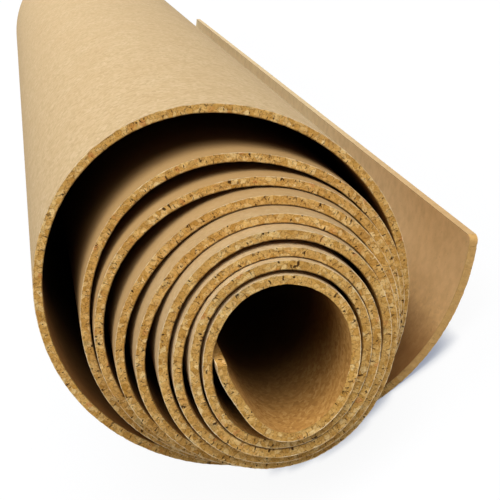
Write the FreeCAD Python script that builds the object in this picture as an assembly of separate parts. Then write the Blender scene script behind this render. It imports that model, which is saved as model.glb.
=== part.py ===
import FreeCAD, Part
import math
import os

# Cork underlayment roll.
# One cork sheet is wound loosely on itself. Its section is built turn on turn from the bore outwards.
# The roll's axis runs along Y, the near end faces -Y, +X is to the right and +Z is up.

os.makedirs("parts", exist_ok=True)
doc = FreeCAD.newDocument("cork_roll")
sheet = doc.addObject("Spreadsheet::Sheet", "Sizes")

# Driving sizes: millimetres, degrees and turns
SIZES = [
    # the flat sheet
    ("sheet_width", 1220.0, "width of the cork sheet, which is the length of the roll"),
    ("sheet_thickness", 6.0, "thickness of the cork sheet"),
    ("total_turns", 9.54, "turns from the inner end to the free end"),
    ("turn_clearance", 0.45, "least air between two turns"),
    # the bore, which the first turn goes around: an oval that is a little out of true
    ("bore_radius", 39.2, "mean radius of the bore"),
    ("bore_right", -0.7, "how far the bore stands to the right"),
    ("bore_rise", -3.0, "how far the bore stands upwards"),
    ("bore_upright", 3.3, "how much taller than wide the bore is"),
    ("bore_lean", 0.7, "lean of the bore's oval"),
    ("bore_corner_side", 0.2, "three-cornered part of the bore, sideways"),
    ("bore_corner_up", 0.6, "three-cornered part of the bore, upwards"),
    # the inner end, which cuts across as a nearly straight chord
    ("chord_depth", 7.7, "how far the inner end leaves the next turn"),
    ("chord_turn", 0.13, "turn at which it stands furthest off"),
    ("chord_reach", 0.15, "turns over which it comes back"),
    # the coil's loose turns: air beneath each, where that air is widest, and how closely it keeps to that side,
    # with directions counted before the roll settles
    ("air_2", 1.95, "air under the second turn"),
    ("side_2", 92.0, "its direction, from the right by way of the top"),
    ("focus_2", 0.7, "its focus"),
    ("air_3", 3.0, "air under the third turn"),
    ("side_3", 200.0, "its direction"),
    ("focus_3", 6.8, "its focus"),
    ("air_4", 2.6, "air under the fourth turn"),
    ("side_4", 93.0, "its direction"),
    ("focus_4", 0.7, "its focus"),
    ("air_5", 5.9, "air under the fifth turn"),
    ("side_5", 199.0, "its direction"),
    ("focus_5", 7.4, "its focus"),
    ("air_6", 4.25, "air under the sixth turn"),
    ("side_6", 185.0, "its direction"),
    ("focus_6", 5.3, "its focus"),
    ("air_7", 8.6, "air under the seventh turn"),
    ("side_7", 151.0, "its direction"),
    ("focus_7", 8.0, "its focus"),
    ("air_8", 8.9, "air under the eighth turn"),
    ("side_8", 122.5, "its direction"),
    ("focus_8", 8.0, "its focus"),
    # the outer loop, which comes back down on the coil after its one turn
    ("loop_air", 27.8, "air under the outer loop"),
    ("loop_side", 136.0, "its direction"),
    ("loop_focus", 2.3, "its focus"),
    # the free flap, which leaves the coil beneath it and stands up at the right
    ("flap_start", 9.36, "turn at which the flap leaves the coil"),
    ("flap_rise", 84.0, "how far the flap would stand off after three tenths of a turn"),
    ("flap_curve", 1.08, "power of the flap's rise"),
    # gravity: the turns bear on each other at the lower right of the section, so the roll lies on that side
    ("settle_angle", 34.6, "how far the wound section is rolled onto the foot of its flap"),
    # the telescoped ends: how far each turn's edge stands behind the inner end's
    ("back_1", 9.0, "set-back after one turn"),
    ("back_2", 9.2, "set-back after two turns"),
    ("back_3", 14.9, "set-back after three turns"),
    ("back_4", 19.0, "set-back after four turns"),
    ("back_5", 33.3, "set-back after five turns"),
    ("back_6", 50.0, "set-back after six turns"),
    ("back_7", 66.0, "set-back after seven turns"),
    ("back_8", 77.8, "set-back after eight turns"),
    ("back_9", 89.5, "set-back after nine turns"),
    ("back_10", 101.5, "set-back after ten turns, towards which the free end runs"),
    ("points_per_turn", 24, "points that the section takes in a turn"),
]
for row, (alias, value, note) in enumerate(SIZES, start=1):
    sheet.set("A%d" % row, note)
    sheet.set("B%d" % row, str(value))
    sheet.setAlias("B%d" % row, alias)
doc.recompute()


def size(alias):
    return float(sheet.get(alias))


thickness = size("sheet_thickness")
turns = size("total_turns")
airs = [(k, size("air_%d" % k), size("side_%d" % k), size("focus_%d" % k)) for k in range(2, 9)]
airs.append((9, size("loop_air"), size("loop_side"), size("loop_focus")))
backs = [0.0] + [size("back_%d" % k) for k in range(1, 11)]


def radius(turn):
    # centre line of the sheet, measured from the bore's middle
    angle = math.pi + 2.0 * math.pi * turn
    r = size("bore_radius") + thickness / 2.0
    r += size("bore_right") * math.cos(angle) + size("bore_rise") * math.sin(angle)
    r += -size("bore_upright") * math.cos(2.0 * angle) + size("bore_lean") * math.sin(2.0 * angle)
    r += size("bore_corner_side") * math.cos(3.0 * angle) + size("bore_corner_up") * math.sin(3.0 * angle)
    r += (thickness + size("turn_clearance")) * turn
    off = min(abs(turn - size("chord_turn")) / size("chord_reach"), 1.0)
    r -= size("chord_depth") * math.cos(math.pi / 2.0 * off) ** 2
    for k, air, side, focus in airs:
        # the air lifts this turn and, but for the loop's, all that lie on it
        widest = k + (side - 180.0) / 360.0
        over = turn > widest - 0.5
        if k == 9:
            over = over and turn < widest + 0.5
        if over:
            facing = max(0.5 + 0.5 * math.cos(angle - math.radians(side)), 0.0)
            r += air * facing ** focus
    past = max(turn - size("flap_start"), 0.0) / 0.3
    r += size("flap_rise") * past ** size("flap_curve")
    return r


def set_back(turn):
    # smooth and never falling between the named set-backs
    low = min(int(turn), len(backs) - 2)
    u = turn - low
    steps = [b - a for a, b in zip(backs, backs[1:])]

    def slope(i):
        if i == 0 or i == len(steps):
            return steps[min(i, len(steps) - 1)]
        if steps[i - 1] <= 0.0 or steps[i] <= 0.0:
            return 0.0
        return 2.0 * steps[i - 1] * steps[i] / (steps[i - 1] + steps[i])

    a = slope(low) - steps[low]
    b = steps[low] - slope(low + 1)
    return backs[low] + steps[low] * u + u * (1.0 - u) * (a * (1.0 - u) + b * u)


def on_centre(turn):
    # the section turned so that the roll bears on its underside and on the foot of its flap
    angle = math.pi + 2.0 * math.pi * turn - math.radians(size("settle_angle"))
    r = radius(turn)
    return r * math.cos(angle), r * math.sin(angle)


def offset_pair(turn):
    # points on the inner and the outer face, half a thickness to each side
    step = 0.001
    x0, z0 = on_centre(turn - step)
    x1, z1 = on_centre(turn + step)
    length = math.hypot(x1 - x0, z1 - z0)
    nx = (z1 - z0) / length
    nz = -(x1 - x0) / length
    x, z = on_centre(turn)
    half = thickness / 2.0
    return (x - half * nx, z - half * nz), (x + half * nx, z + half * nz)


# Section points from the inner end to the free end, with the sheet's set-back at each
count = int(round(turns * size("points_per_turn")))
inner_side = []
outer_side = []
along = []
wound = 0.0
last = on_centre(0.0)
for i in range(count + 1):
    turn = turns * i / count
    inner, outer = offset_pair(turn)
    here = on_centre(turn)
    wound += math.hypot(here[0] - last[0], here[1] - last[1])
    last = here
    inner_side.append(FreeCAD.Vector(inner[0], set_back(turn), inner[1]))
    outer_side.append(FreeCAD.Vector(outer[0], set_back(turn), outer[1]))
    along.append(wound)

# The four arrises of the sheet: along the inner and the outer face, at the near and the far end
inner_arris = Part.BSplineCurve()
inner_arris.interpolate(Points=inner_side, Parameters=along)
outer_arris = Part.BSplineCurve()
outer_arris.interpolate(Points=outer_side, Parameters=along)
across = FreeCAD.Vector(0.0, size("sheet_width"), 0.0)


def carried(curve):
    far = curve.copy()
    far.translate(across)
    return far


def ruled(first, second):
    # a face swept by straight lines between two arrises
    surface = Part.BSplineSurface()
    pairs = [[a, b] for a, b in zip(first.getPoles(), second.getPoles())]
    surface.buildFromPolesMultsKnots(
        pairs, first.getMultiplicities(), [2, 2], first.getKnots(), [0.0, 1.0], False, False,
        first.Degree, 1)
    return surface.toShape()


# The sheet is closed with faces of about half a turn each
faces = []
pieces = int(round(turns * 2.0))
for i in range(pieces):
    start = wound * i / pieces
    stop = wound * (i + 1) / pieces
    near_in = inner_arris.copy()
    near_in.segment(start, stop)
    near_out = outer_arris.copy()
    near_out.segment(start, stop)
    far_in = carried(near_in)
    far_out = carried(near_out)
    faces += [ruled(near_in, far_in), ruled(near_out, far_out), ruled(near_in, near_out), ruled(far_in, far_out)]
for i in (0, -1):
    corners = [inner_side[i], outer_side[i], outer_side[i] + across, inner_side[i] + across]
    faces.append(Part.Face(Part.makePolygon(corners + corners[:1])))
shell = Part.makeShell(faces)
shell.sewShape()
solid = Part.makeSolid(shell)
if solid.Volume < 0.0:
    solid.reverse()

# The origin goes to the middle of the footprint, at the height the roll rests on
box = solid.optimalBoundingBox(False, False)
home = FreeCAD.Vector(-(box.XMin + box.XMax) / 2.0, -(box.YMin + box.YMax) / 2.0, -box.ZMin)
solid.translate(home)
roll = doc.addObject("Part::Feature", "cork_sheet")
roll.Shape = solid
doc.recompute()

for item in doc.Objects:
    if "Invalid" in item.State or "Error" in item.State:
        raise RuntimeError("%s did not compute" % item.Name)
if roll.Shape.isNull() or not roll.Shape.isValid():
    raise RuntimeError("the roll's shape is not valid")
if len(roll.Shape.Solids) != 1:
    raise RuntimeError("the roll is not one solid")
box = roll.Shape.optimalBoundingBox(False, False)
print("size %.1f x %.1f x %.1f mm" % (box.XLength, box.YLength, box.ZLength))
print("volume %.0f cm3, sheet %.2f m long" % (roll.Shape.Volume / 1000.0, wound / 1000.0))
print("bore's middle at x %.2f z %.2f, inner end's edge at y %.2f" % (home.x, home.z, home.y))
roll.Shape.exportStep("parts/cork_sheet.step")
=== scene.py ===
import math

import bpy
import numpy as np
from mathutils import Matrix, Vector, noise


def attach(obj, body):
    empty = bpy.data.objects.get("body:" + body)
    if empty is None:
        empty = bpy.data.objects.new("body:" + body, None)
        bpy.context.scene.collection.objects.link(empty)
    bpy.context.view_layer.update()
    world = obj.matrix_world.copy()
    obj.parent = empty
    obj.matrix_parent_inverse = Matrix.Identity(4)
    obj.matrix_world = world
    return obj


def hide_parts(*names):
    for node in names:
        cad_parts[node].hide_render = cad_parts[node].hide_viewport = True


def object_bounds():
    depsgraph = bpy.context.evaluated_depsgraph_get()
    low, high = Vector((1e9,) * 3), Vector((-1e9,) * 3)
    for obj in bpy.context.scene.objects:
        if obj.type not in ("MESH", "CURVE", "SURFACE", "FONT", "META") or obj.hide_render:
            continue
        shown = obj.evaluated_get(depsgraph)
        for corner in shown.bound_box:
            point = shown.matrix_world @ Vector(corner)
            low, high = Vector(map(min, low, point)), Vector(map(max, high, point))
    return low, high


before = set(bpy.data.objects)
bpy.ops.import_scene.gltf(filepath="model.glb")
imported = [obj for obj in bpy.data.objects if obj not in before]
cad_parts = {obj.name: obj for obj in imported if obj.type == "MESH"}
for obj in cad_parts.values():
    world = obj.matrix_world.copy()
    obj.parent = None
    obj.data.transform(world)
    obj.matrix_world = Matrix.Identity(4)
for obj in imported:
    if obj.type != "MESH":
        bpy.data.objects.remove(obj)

cad_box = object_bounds()

# The sheet's winding, with the part's sizes, in millimetres, degrees and turns
THICKNESS = 6.0
CLEARANCE = 0.45
SHEET_WIDTH = 1220.0
TURNS = 9.54
BORE_RADIUS = 39.2
# the bore's waves, one, two and three to a turn, each as its cosine's and its sine's height
BORE_WAVES = ((-0.7, -3.0), (-3.3, 0.7), (0.2, 0.6))
CHORD_DEPTH = 7.7
CHORD_TURN = 0.13
CHORD_REACH = 0.15
# turn: air beneath it, the direction of that air, how closely it keeps to it
AIRS = {2: (1.95, 92.0, 0.7), 3: (3.0, 200.0, 6.8), 4: (2.6, 93.0, 0.7), 5: (5.9, 199.0, 7.4),
        6: (4.25, 185.0, 5.3), 7: (8.6, 151.0, 8.0), 8: (8.9, 122.5, 8.0), 9: (27.8, 136.0, 2.3)}
LOOP = 9
FLAP_START = 9.36
FLAP_SPAN = 0.3
FLAP_RISE = 84.0
FLAP_CURVE = 1.08
SETTLE = math.radians(34.6)
BACKS = (0.0, 9.0, 9.2, 14.9, 19.0, 33.3, 50.0, 66.0, 77.8, 89.5, 101.5)

# How finely the sheet is drawn: columns along the winding, steps over the cut edge, rows behind it in mm
WINDING_STEPS = 8000
COARSE = 960
FINE_PER_COARSE = 4
CUT_STEPS = 7
NEAR_ROWS = (0.7, 2.2)
FAR_ROWS = (7.0, 22.0, 60.0, 130.0, 240.0, 380.0, 540.0, 700.0, 860.0, 1010.0, 1130.0, 1200.0, 1218.5)
FAR_CUT_SIDES = (-0.85, 0.0, 0.85)
SHARP_ANGLE = math.radians(40.0)

# What the part leaves out, in mm. The free end's near corner is rounded over.
CORNER = 4.0
# the near arrises are worn: by this much as a rule, changed by broad and by sharp dents of these sizes
ARRIS_WEAR = 0.12
BROAD_WEAR = 0.16
BROAD_SIZE = 8.0
SHARP_WEAR = 0.26
SHARP_SIZE = 2.4
LEAST_WEAR = 0.03
MOST_WEAR = 0.8
# the share of the wear that either side of the arris loses, how far it always falls back, and the share
# that is left in the faces' near rows
ARRIS_SHARE = 0.8
ARRIS_FALL = 0.05
NEAR_SHARES = (0.35, 0.0)
# the near cut edge is pitted: by this much as a rule, changed by lumps of this size
PIT = 0.20
PIT_CHANGE = 0.5
PIT_SIZE = 2.2
DEEPEST_PIT = 0.9
# the layers of noise that the pits and the two arrises take, and how far sharp dents lie from broad ones
PIT_LAYER = 5.0
INNER_LAYER = 3.1
OUTER_LAYER = 57.3
SHARP_LAYER = 31.7

# The photograph's camera: focal length and the vanishing point of the roll's axis, in pixels of its frame
FOCAL = 1200.0
FRAME_SIDE = 500.0
VANISH = (6.0, -132.0)
# from the camera to the bore's middle at the inner end's edge: ahead along the axis, aside and below, in mm
AHEAD = 622.0
ASIDE = 143.4
BELOW = 270.0
SENSOR = 36.0

# Light: the even light, and three lamps with their strength, spread and the direction each comes from
SKY = 0.13
SKY_TINT = (0.97, 0.98, 1.0, 1.0)
MAIN = (3.1, 55.0, (0.38, -0.44, 0.80))
SECOND = (1.3, 50.0, (-0.66, -0.14, 0.72))
BACK = (0.7, 50.0, (0.10, 0.88, 0.45))
WHITE = (1.0, 1.0, 1.0, 1.0)

# Floor: how much of what is seen of it is its own white, the colours of the rest as seen and as light that
# it throws back, its half side in metres, and the reach and tint of the shade close to the roll
FLOOR_WHITE = 0.93
FLOOR_SHOWN = (0.9, 0.93, 1.0, 1.0)
FLOOR_THROWN = (0.32, 0.32, 0.33, 1.0)
FLOOR_REACH = 30.0
CONTACT_REACH = 0.016
CONTACT_SHADE = ((0.3, "9EA4B3"), (0.85, "FFFFFF"))

# Colours of the cut edge: its granules, its paler and darker stretches, and what lies in and over them
CUT_GRANULES = ((0.24, "C2903F"), (0.42, "DAAA5C"), (0.58, "E9BE72"), (0.78, "FBE0A4"))
CUT_PATCHES = ((0.35, "EDE6DC"), (0.65, "FFFFFF"))
RED_GRANULE = "CF7F42"
GREY_GRANULE = "A89868"
SEAM_BROWN = "7E4F20"
PIT_BROWN = "7E4F1E"
BARK = "3A200A"
# the outer arris: partly worn pale cork, partly a painted highlight
PALE_ARRIS = "FFEDC4"
# the inner arris: painted shade of the gap under the next turn
GAP_SHADE_ARRIS = "472A0E"
DUSTY_EDGE = "CFA568"
# the broad faces' faint mottling, and the free end's rim
MOTTLING = ((0.32, "EFECE7"), (0.62, "FFFFFF"))
RIM_TAN = "A98C62"

# Where the sheet's look changes. In turns: the painted shade on the inner arris comes in past the bore's
# rim, the flap's edge begins to be dusty, and the painted shade on the faces between the turns grows darker
# from here to there.
GAP_SHADE_FROM = 0.9
DUSTY_FROM = 9.385
SHADED_FROM = 2.5
SHADED_TO = 6.5
# in metres: the stretch in which such a change comes about, the free end's rim, and how far along the roll
# the painted light on the flap's inner face changes
FADE = 0.03
RIM = 0.0004
FLAP_FADE = 0.5

# Granules to a metre of sheet
CUT_GRAIN = 300.0
FACE_GRAIN = 420.0

# The mesh's material slots
OUTER, CUT, INNER = range(3)


def radius(turn):
    # centre line of the sheet, measured from the bore's middle
    angle = math.pi + 2.0 * math.pi * turn
    r = BORE_RADIUS + THICKNESS / 2.0 + (THICKNESS + CLEARANCE) * turn
    for i, (across, up) in enumerate(BORE_WAVES, start=1):
        r = r + across * np.cos(i * angle) + up * np.sin(i * angle)
    off = np.clip(np.abs(turn - CHORD_TURN) / CHORD_REACH, 0.0, 1.0)
    r = r - CHORD_DEPTH * np.cos(math.pi / 2.0 * off) ** 2
    for k, (air, side, focus) in AIRS.items():
        # the air lifts this turn and, but for the loop's, all that lie on it
        widest = k + (side - 180.0) / 360.0
        over = turn > widest - 0.5
        if k == LOOP:
            over = over & (turn < widest + 0.5)
        facing = np.clip(0.5 + 0.5 * np.cos(angle - math.radians(side)), 0.0, 1.0)
        r = r + air * facing ** focus * over
    past = np.clip(turn - FLAP_START, 0.0, None) / FLAP_SPAN
    return r + FLAP_RISE * past ** FLAP_CURVE


def on_centre(turn):
    # the section turned so that the roll bears on its underside and on the foot of its flap
    angle = math.pi + 2.0 * math.pi * turn - SETTLE
    r = radius(turn)
    return r * np.cos(angle), r * np.sin(angle)


def normal_at(turn):
    # the direction from the inner face to the outer one
    step = 0.001
    x0, z0 = on_centre(turn - step)
    x1, z1 = on_centre(turn + step)
    length = np.hypot(x1 - x0, z1 - z0)
    return (z1 - z0) / length, -(x1 - x0) / length


def set_back(turn):
    # smooth and never falling between the named set-backs
    backs = np.array(BACKS)
    steps = np.diff(backs)
    slopes = np.zeros(len(backs))
    slopes[0] = steps[0]
    slopes[-1] = steps[-1]
    for i in range(1, len(steps)):
        if steps[i - 1] > 0.0 and steps[i] > 0.0:
            slopes[i] = 2.0 * steps[i - 1] * steps[i] / (steps[i - 1] + steps[i])
    low = np.clip(np.floor(turn).astype(int), 0, len(steps) - 1)
    u = turn - low
    a = slopes[low] - steps[low]
    b = steps[low] - slopes[low + 1]
    return backs[low] + steps[low] * u + u * (1.0 - u) * (a * (1.0 - u) + b * u)


# Length along the winding, and where the section sits in the row's frame
half = THICKNESS / 2.0
many = np.linspace(0.0, TURNS, WINDING_STEPS + 1)
mid_x, mid_z = on_centre(many)
wound = np.concatenate([[0.0], np.cumsum(np.hypot(np.diff(mid_x), np.diff(mid_z)))])
sheet_length = float(wound[-1])
normal_x, normal_z = normal_at(many)
all_x = np.concatenate([mid_x - half * normal_x, mid_x + half * normal_x])
all_z = np.concatenate([mid_z - half * normal_z, mid_z + half * normal_z])
home_x = -(all_x.min() + all_x.max()) / 2.0
home_z = -all_z.min()
home_y = -(SHEET_WIDTH + set_back(np.array([TURNS]))[0]) / 2.0

points = []
places = []
faces = []
slots = []


class Columns:
    # even steps along the winding, at each of which a row has a point
    def __init__(self, count, corner=0.0):
        self.along = np.linspace(0.0, sheet_length, count + 1)
        turn = np.interp(self.along, wound, many)
        self.x, self.z = on_centre(turn)
        self.normal_x, self.normal_z = normal_at(turn)
        self.back = set_back(turn)
        # the free end's near corner is rounded over
        short = np.clip(corner - (sheet_length - self.along), 0.0, corner)
        self.edge = self.back + corner - np.sqrt(corner ** 2 - short ** 2)

    def section(self, offset):
        # points of the section at an offset from its centre line
        return self.x + offset * self.normal_x, self.z + offset * self.normal_z

    def row(self, offset, depth, side):
        # points at an offset from the centre line and a depth behind the near edge, each with its place on
        # the flat sheet: along it, over its width and through its thickness, where side runs from -1 to 1
        start = len(points)
        x, z = self.section(offset)
        y = self.edge + depth
        points.extend(zip(x + home_x, y + home_y, z + home_z))
        places.extend(zip(self.along, y - self.back, np.full(len(x), side * half)))
        return list(range(start, start + len(x)))


def cloud(x, y, z, size):
    # smooth noise between about -1 and 1 for each point, in lumps of about this size
    rise, gap, octaves = 1.0, 2.0, 2
    scale = 1.0 / size
    values = [noise.fractal((a * scale, y * scale, b * scale), rise, gap, octaves) for a, b in zip(x, z)]
    return np.array(values)


def add_face(ring, slot, flip):
    faces.append(ring[::-1] if flip else ring)
    slots.append(slot)


def strip(a, b, slot, flip):
    # faces between two rows that have the same columns
    for i in range(len(a) - 1):
        add_face([a[i], a[i + 1], b[i + 1], b[i]], slot, flip)


def widen(many_columns, few_columns, slot, flip):
    # several fine columns meet one coarse column
    for i in range(len(few_columns) - 1):
        first = FINE_PER_COARSE * i
        ring = many_columns[first:first + FINE_PER_COARSE + 1] + [few_columns[i + 1], few_columns[i]]
        add_face(ring, slot, flip)


fine = Columns(COARSE * FINE_PER_COARSE, CORNER)
coarse = Columns(COARSE)


def wear(layer):
    # how far the arris is broken away at each fine column, in mm
    level = np.zeros(len(fine.along))
    broad = cloud(fine.along, layer, level, BROAD_SIZE)
    sharp = cloud(fine.along, layer + SHARP_LAYER, level, SHARP_SIZE)
    return np.clip(ARRIS_WEAR + BROAD_WEAR * broad + SHARP_WEAR * sharp, LEAST_WEAR, MOST_WEAR)


wear_in = wear(INNER_LAYER)
wear_out = wear(OUTER_LAYER)

# The near cut edge from its inner arris to its outer one, granular and slightly pitted
cut_rows = []
for j in range(CUT_STEPS + 1):
    side = -1.0 + 2.0 * j / CUT_STEPS
    if j in (0, CUT_STEPS):
        worn = ARRIS_SHARE * (wear_in if side < 0.0 else wear_out)
        offset = math.copysign(1.0, side) * (half - worn)
        sink = worn + ARRIS_FALL
    else:
        offset = half * side
        x, z = fine.section(offset)
        sink = np.clip(PIT - PIT_CHANGE * cloud(x, PIT_LAYER, z, PIT_SIZE), 0.0, DEEPEST_PIT)
    cut_rows.append(fine.row(offset, sink, side))
for a, b in zip(cut_rows[:-1], cut_rows[1:]):
    strip(a, b, CUT, False)

# The two broad faces: fine rows by the near cut edge, where the arris's wear fades out, coarse rows beyond
sides = []
for side, first, worn, slot in ((-1.0, cut_rows[0], wear_in, INNER), (1.0, cut_rows[-1], wear_out, OUTER)):
    lines = [first]
    flip = side < 0.0
    for y, share in zip(NEAR_ROWS, NEAR_SHARES):
        line = fine.row(side * (half - worn * share), y + worn * ARRIS_SHARE, side)
        strip(lines[-1], line, slot, flip)
        lines.append(line)
    for y in FAR_ROWS:
        line = coarse.row(side * half, y, side)
        join = widen if y == FAR_ROWS[0] else strip
        join(lines[-1], line, slot, flip)
        lines.append(line)
    sides.append(lines)

# The far cut edge
far_rows = [sides[0][-1]]
for side in FAR_CUT_SIDES:
    far_rows.append(coarse.row(side * half, SHEET_WIDTH, side))
far_rows.append(sides[1][-1])
for a, b in zip(far_rows[:-1], far_rows[1:]):
    strip(a, b, CUT, True)

# The short cut edges at the inner end and at the free end
for end, flip, slot in ((0, True, CUT), (-1, False, INNER)):
    inner = [line[end] for line in sides[0]]
    outer = [line[end] for line in sides[1]]
    add_face([row[end] for row in cut_rows] + [outer[1], inner[1]], slot, flip)
    for i in range(1, len(inner) - 1):
        add_face([inner[i], outer[i], outer[i + 1], inner[i + 1]], slot, flip)
    add_face([row[end] for row in far_rows[::-1]], slot, not flip)

# The mesh, in metres, which stays inside the frame's box and shades sharply over its arrises
lowest = np.array(cad_box[0])
highest = np.array(cad_box[1])
coordinates = np.clip(np.array(points, float) / 1000.0, lowest, highest)
mesh = bpy.data.meshes.new("cork_sheet_wound")
mesh.from_pydata(coordinates.tolist(), [], faces)
mesh.polygons.foreach_set("material_index", slots)
mesh.polygons.foreach_set("use_smooth", [slot != CUT for slot in slots])
on_flat_sheet = mesh.attributes.new("place", "FLOAT_VECTOR", "POINT")
on_flat_sheet.data.foreach_set("vector", (np.array(places) / 1000.0).astype(np.float32).ravel())
mesh.update()
mesh.set_sharp_from_angle(angle=SHARP_ANGLE)
roll = bpy.data.objects.new("cork_sheet_wound", mesh)
bpy.context.scene.collection.objects.link(roll)


# Materials
def linear(hex_colour):
    values = [int(hex_colour[i:i + 2], 16) / 255.0 for i in (0, 2, 4)]
    return [v / 12.92 if v <= 0.04045 else ((v + 0.055) / 1.055) ** 2.4 for v in values] + [1.0]


class Nodes:
    # the nodes of a material or of the world
    def __init__(self, owner):
        owner.use_nodes = True
        self.tree = owner.node_tree
        self.tree.nodes.clear()
        self.add = self.tree.nodes.new
        self.where = None

    def on_sheet(self, stretch=(1.0, 1.0, 1.0)):
        # the textures that follow read the place on the flat sheet, in metres
        source = self.add("ShaderNodeAttribute")
        source.attribute_name = "place"
        scaled = self.add("ShaderNodeVectorMath")
        scaled.operation = "MULTIPLY"
        self.join(source.outputs["Vector"], scaled.inputs[0])
        scaled.inputs[1].default_value = stretch
        self.where = scaled.outputs[0]
        return self.where

    def part(self, vector, axis):
        node = self.add("ShaderNodeSeparateXYZ")
        self.join(vector, node.inputs[0])
        return node.outputs[axis]

    def join(self, source, socket):
        # another node's output, a colour's code or plain values
        if isinstance(source, bpy.types.NodeSocket):
            self.tree.links.new(source, socket)
        elif isinstance(source, str):
            socket.default_value = linear(source)
        else:
            socket.default_value = source

    def voronoi(self, scale, feature="F1"):
        # granules, so many to a metre
        node = self.add("ShaderNodeTexVoronoi")
        node.feature = feature
        node.inputs["Scale"].default_value = scale
        node.inputs["Randomness"].default_value = 1.0
        self.join(self.where, node.inputs["Vector"])
        return node

    def noise(self, scale, detail, roughness=0.55, distortion=0.0):
        # soft lumps, so many to a metre, with finer ones in them
        node = self.add("ShaderNodeTexNoise")
        node.inputs["Scale"].default_value = scale
        node.inputs["Detail"].default_value = detail
        node.inputs["Roughness"].default_value = roughness
        node.inputs["Distortion"].default_value = distortion
        self.join(self.where, node.inputs["Vector"])
        return node.outputs[0]

    def ramp(self, source, stops):
        # each stop is a position with a grey level or a colour's code
        node = self.add("ShaderNodeValToRGB")
        band = node.color_ramp
        while len(band.elements) < len(stops):
            band.elements.new(0.5)
        for element, (position, colour) in zip(band.elements, stops):
            element.position = position
            element.color = linear(colour) if isinstance(colour, str) else [colour, colour, colour, 1.0]
        self.join(source, node.inputs["Fac"])
        return node.outputs["Color"]

    def mix(self, share, a, b, kind="MIX"):
        node = self.add("ShaderNodeMix")
        node.data_type = "RGBA"
        node.blend_type = kind
        self.join(share, node.inputs[0])
        self.join(a, node.inputs[6])
        self.join(b, node.inputs[7])
        return node.outputs[2]

    def math(self, operation, a, b):
        node = self.add("ShaderNodeMath")
        node.operation = operation
        self.join(a, node.inputs[0])
        self.join(b, node.inputs[1])
        return node.outputs[0]

    def times(self, a, b):
        return self.math("MULTIPLY", a, b)

    def way(self, value, start, stop):
        # how far a value has come from start to stop, where 1 is all the way
        return self.times(self.math("SUBTRACT", value, start), 1.0 / (stop - start))

    def grown(self, value, start, stop, low=0.0, high=1.0):
        # low up to start and high from stop on, in either direction
        return self.ramp(self.way(value, start, stop), ((0.0, low), (1.0, high)))

    def bump(self, height, distance, strength):
        node = self.add("ShaderNodeBump")
        node.inputs["Distance"].default_value = distance
        node.inputs["Strength"].default_value = strength
        self.join(height, node.inputs["Height"])
        return node.outputs["Normal"]

    def surface(self, colour, roughness, normal):
        shader = self.add("ShaderNodeBsdfPrincipled")
        self.join(colour, shader.inputs["Base Color"])
        shader.inputs["Roughness"].default_value = roughness
        shader.inputs["Specular IOR Level"].default_value = 0.12
        self.join(normal, shader.inputs["Normal"])
        self.join(shader.outputs["BSDF"], self.add("ShaderNodeOutputMaterial").inputs["Surface"])

    def either(self, share, first, second):
        node = self.add("ShaderNodeMixShader")
        self.join(share, node.inputs[0])
        self.join(first, node.inputs[1])
        self.join(second, node.inputs[2])
        return node.outputs[0]

    def shown(self):
        # 1 for what the camera sees, also in gloss and through glass, 0 for light that goes elsewhere
        path = self.add("ShaderNodeLightPath")
        seen = self.math("MAXIMUM", path.outputs["Is Camera Ray"], path.outputs["Is Glossy Ray"])
        return self.math("MAXIMUM", seen, path.outputs["Is Transmission Ray"])


def place_of(turn):
    # how far along the flat sheet a turn ends, in metres
    return float(np.interp(turn, many, wound)) / 1000.0


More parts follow.
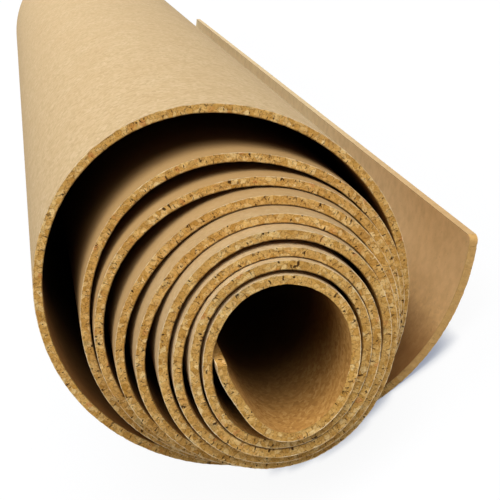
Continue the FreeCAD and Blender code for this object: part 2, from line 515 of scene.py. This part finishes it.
def cut_cork():
    # the cut edge: packed granules of several tans with brown seams, specks of dark bark, a pale outer
    # arris that is partly worn cork and partly a painted highlight, and an inner arris painted dark as the
    # shade in the gap under the next turn
    material = bpy.data.materials.new("cork_cut")
    n = Nodes(material)
    sheet = n.on_sheet()
    along = n.part(sheet, 0)
    chips = n.voronoi(CUT_GRAIN).outputs["Color"]
    tone = n.math("ADD", n.times(chips, 0.45), n.times(n.noise(700.0, 4.0), 0.55))
    base = n.ramp(tone, CUT_GRANULES)
    base = n.mix(1.0, base, n.ramp(n.noise(45.0, 2.0), CUT_PATCHES), "MULTIPLY")
    red = n.ramp(n.voronoi(330.0).outputs["Color"], ((0.86, 0.0), (0.92, 1.0)))
    base = n.mix(n.times(red, 0.5), base, RED_GRANULE)
    grey = n.ramp(n.voronoi(240.0).outputs["Color"], ((0.06, 1.0), (0.10, 0.0)))
    base = n.mix(n.times(grey, 0.4), base, GREY_GRANULE)
    # the seams are lines that break off here and there
    broken = n.ramp(n.noise(500.0, 2.0), ((0.42, 0.0), (0.56, 1.0)))
    seams = n.ramp(n.voronoi(CUT_GRAIN, "DISTANCE_TO_EDGE").outputs["Distance"], ((0.02, 1.0), (0.09, 0.0)))
    base = n.mix(n.times(n.times(seams, broken), 0.5), base, SEAM_BROWN)
    pits = n.ramp(n.noise(900.0, 2.0), ((0.33, 1.0), (0.42, 0.0)))
    base = n.mix(n.times(pits, 0.5), base, PIT_BROWN)
    # the bark's specks come in clusters and are drawn out through the thickness
    clusters = n.ramp(n.noise(150.0, 1.0), ((0.42, 0.0), (0.56, 1.0)))
    n.on_sheet((1.0, 1.0, 0.5))
    specks = n.ramp(n.noise(560.0, 1.5, 0.6, 0.5), ((0.34, 1.0), (0.40, 0.0)))
    base = n.mix(n.times(specks, n.math("ADD", n.times(clusters, 0.7), 0.25)), base, BARK)
    n.where = sheet
    # the arrises waver a little
    waver = n.times(n.math("SUBTRACT", n.noise(260.0, 2.0), 0.5), 0.14)
    through = n.math("ADD", n.way(n.part(sheet, 2), -half / 1000.0, half / 1000.0), waver)
    # the outer arris's pale line is partly worn cork and partly a painted highlight
    wear_and_highlight = n.ramp(n.noise(130.0, 2.0), ((0.38, 0.25), (0.60, 0.8)))
    base = n.mix(n.times(n.ramp(through, ((0.91, 0.0), (0.98, 1.0))), wear_and_highlight), base, PALE_ARRIS)
    # the inner arris is painted dark as the shade in the gap under the next turn, only faintly at the
    # bore's own rim
    wound_over = n.grown(along, place_of(GAP_SHADE_FROM), place_of(GAP_SHADE_FROM) + FADE, 0.15, 0.8)
    base = n.mix(n.times(n.ramp(through, ((0.03, 1.0), (0.15, 0.0))), wound_over), base, GAP_SHADE_ARRIS)
    # the free flap's edge is dusty, and close to its face in tone
    dusty = n.grown(along, place_of(DUSTY_FROM), place_of(DUSTY_FROM) + FADE)
    base = n.mix(n.times(dusty, 0.8), base, DUSTY_EDGE)
    relief = n.math("SUBTRACT", n.times(n.noise(800.0, 3.0), 0.6), n.times(specks, 0.5))
    n.surface(base, 0.9, n.bump(relief, 0.0005, 0.5))
    return material


def face_cork(name, tones, worn, bark, specks, mottled, painted_shade, painted_flap_light=None):
    # the broad faces: close granules with faint mottling
    material = bpy.data.materials.new(name)
    n = Nodes(material)
    sheet = n.on_sheet()
    along = n.part(sheet, 0)
    over_width = n.part(sheet, 1)
    granules = n.voronoi(FACE_GRAIN)
    grain = n.math("ADD", n.times(granules.outputs["Color"], 0.5), n.times(n.noise(520.0, 3.0), 0.5))
    base = n.ramp(grain, tuple(zip((0.25, 0.5, 0.75), tones)))
    blotch = n.ramp(n.noise(28.0, 4.0), ((0.35, 0.0), (0.65, 1.0)))
    base = n.mix(n.times(blotch, 0.3), base, worn)
    if painted_flap_light is not None:
        # painted light: the free flap's inner face is painted lighter where light falls on it, from its
        # foot toward its free end and paler further along the roll
        start, stop, near, far = painted_flap_light
        flap_light_share = n.grown(along, place_of(start), place_of(stop), 0.0, 0.9)
        away = n.ramp(n.way(over_width, 0.0, FLAP_FADE), ((0.15, near), (0.9, far)))
        base = n.mix(flap_light_share, base, away)
        rim = n.math("GREATER_THAN", along, sheet_length / 1000.0 - RIM)
        base = n.mix(n.times(rim, 0.45), base, RIM_TAN)
    # painted shade: inside the roll the faces are painted darker, more so in the outer turns and deeper in
    last_turn, tan, brown, first_y, last_y = painted_shade
    inside = n.grown(along, place_of(last_turn), place_of(last_turn) - FADE)
    outward = n.grown(along, place_of(SHADED_FROM), place_of(SHADED_TO), 0.1, 0.9)
    base = n.mix(n.times(inside, outward), base, tan)
    base = n.mix(n.times(inside, n.grown(over_width, first_y, last_y)), base, brown)
    base = n.mix(mottled, base, n.ramp(n.noise(110.0, 3.0), MOTTLING), "MULTIPLY")
    # some of the granules have a speck of bark in their middle
    in_middle = n.ramp(granules.outputs["Distance"], ((0.2, 1.0), (0.36, 0.0)))
    chosen = n.ramp(granules.outputs["Color"], ((0.84, 0.0), (0.88, 1.0)))
    base = n.mix(n.times(n.times(in_middle, chosen), specks), base, bark)
    n.surface(base, 0.85, n.bump(n.noise(700.0, 3.0), 0.0003, 0.3))
    return material


# The outer face is pale and dusty, the inner one browner. Painted shade: the turn to which the roll covers
# the
# face, the tan and the brown of the painted shade, and the depths between which the brown comes in. Painted
# flap light:
# the turns between which the painted light on the flap's inner face comes in, and its tones near and far.
mesh.materials.append(face_cork(
    "cork_outer", tones=("B99E73", "C6AB81", "D1B891"), worn="BD9E72", bark="8A6639",
    specks=0.3, mottled=0.3, painted_shade=(8.54, "B18D5A", "82623A", 0.008, 0.045)))
mesh.materials.append(cut_cork())
mesh.materials.append(face_cork(
    "cork_inner", tones=("9E7038", "BC8B48", "D2A560"), worn="A67A42", bark="6E4A24",
    specks=0.2, mottled=0.8, painted_shade=(9.472, "94683A", "5E4020", 0.01, 0.10),
    painted_flap_light=(9.41, 9.50, "EAC189", "FFE8B9")))
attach(roll, "root")
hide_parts("cork_sheet")


# Floor: white to the camera, with a soft shade close to the roll, and it throws little light back up
def floor_white():
    material = bpy.data.materials.new("floor_white")
    n = Nodes(material)
    shown = n.shown()
    plain = n.add("ShaderNodeBsdfDiffuse")
    n.join(n.mix(shown, FLOOR_THROWN, FLOOR_SHOWN), plain.inputs["Color"])
    near_roll = n.add("ShaderNodeAmbientOcclusion")
    near_roll.samples = 12
    near_roll.inputs["Distance"].default_value = CONTACT_REACH
    white = n.add("ShaderNodeEmission")
    n.join(n.ramp(near_roll.outputs["AO"], CONTACT_SHADE), white.inputs["Color"])
    white.inputs["Strength"].default_value = 1.0
    both = n.either(n.times(shown, FLOOR_WHITE), plain.outputs[0], white.outputs[0])
    n.join(both, n.add("ShaderNodeOutputMaterial").inputs["Surface"])
    return material


floor_mesh = bpy.data.meshes.new("floor")
corners = [(x * FLOOR_REACH, y * FLOOR_REACH, 0.0) for x, y in ((-1, -1), (1, -1), (1, 1), (-1, 1))]
floor_mesh.from_pydata(corners, [], [(0, 1, 2, 3)])
floor_mesh.materials.append(floor_white())
floor = bpy.data.objects.new("floor", floor_mesh)
bpy.context.scene.collection.objects.link(floor)


# Surroundings: white to the camera, in gloss and through glass, a soft even light to everything else
def background(nodes, colour, strength):
    node = nodes.add("ShaderNodeBackground")
    node.inputs["Color"].default_value = colour
    node.inputs["Strength"].default_value = strength
    return node.outputs[0]


world = bpy.data.worlds.new("surroundings")
bpy.context.scene.world = world
around = Nodes(world)
even = background(around, SKY_TINT, SKY)
clear = background(around, WHITE, 1.0)
world_out = around.add("ShaderNodeOutputWorld")
around.join(around.either(around.shown(), even, clear), world_out.inputs["Surface"])


def distant(name, strength, spread, source):
    lamp = bpy.data.lights.new(name, "SUN")
    lamp.energy = strength
    lamp.angle = math.radians(spread)
    item = bpy.data.objects.new(name, lamp)
    bpy.context.scene.collection.objects.link(item)
    item.rotation_mode = "QUATERNION"
    item.rotation_quaternion = Vector(source).to_track_quat("Z", "Y")


# Lamps: two stand high in front of the near end, so that they reach only a little way into the gaps, and
# one stands behind the far end
distant("main", *MAIN)
distant("second", *SECOND)
distant("back", *BACK)

# Camera
ahead = Vector((VANISH[0] - FRAME_SIDE / 2.0, VANISH[1] - FRAME_SIDE / 2.0, FOCAL)).normalized()
dip = math.atan2(FRAME_SIDE / 2.0 - VANISH[1], FOCAL)
upward = Vector((0.0, -math.cos(dip), -math.sin(dip)))
aside = upward.cross(ahead)
if aside.x < 0.0:
    aside.negate()
# rows: the row frame's X, Y and Z as the camera sees them, x right, y down and z ahead
seen_axes = Matrix((aside, ahead, upward))
turned = seen_axes @ Matrix(((1.0, 0.0, 0.0), (0.0, -1.0, 0.0), (0.0, 0.0, -1.0)))
camera_data = bpy.data.cameras.new("camera")
camera_data.sensor_width = SENSOR
camera_data.lens = SENSOR * FOCAL / FRAME_SIDE
camera_data.clip_start = 0.05
camera_data.clip_end = 100.0
camera = bpy.data.objects.new("camera", camera_data)
bpy.context.scene.collection.objects.link(camera)
camera.rotation_mode = "QUATERNION"
# the photograph leans as much as the roll has settled
lean = Matrix.Rotation(SETTLE, 3, "Y")
camera.rotation_quaternion = (lean @ turned).to_quaternion()
offset = lean @ Vector((-ASIDE, -AHEAD, BELOW))
camera.location = (Vector((home_x, home_y, home_z)) + offset) / 1000.0
bpy.context.scene.camera = camera
bpy.context.scene.view_settings.view_transform = "Standard"
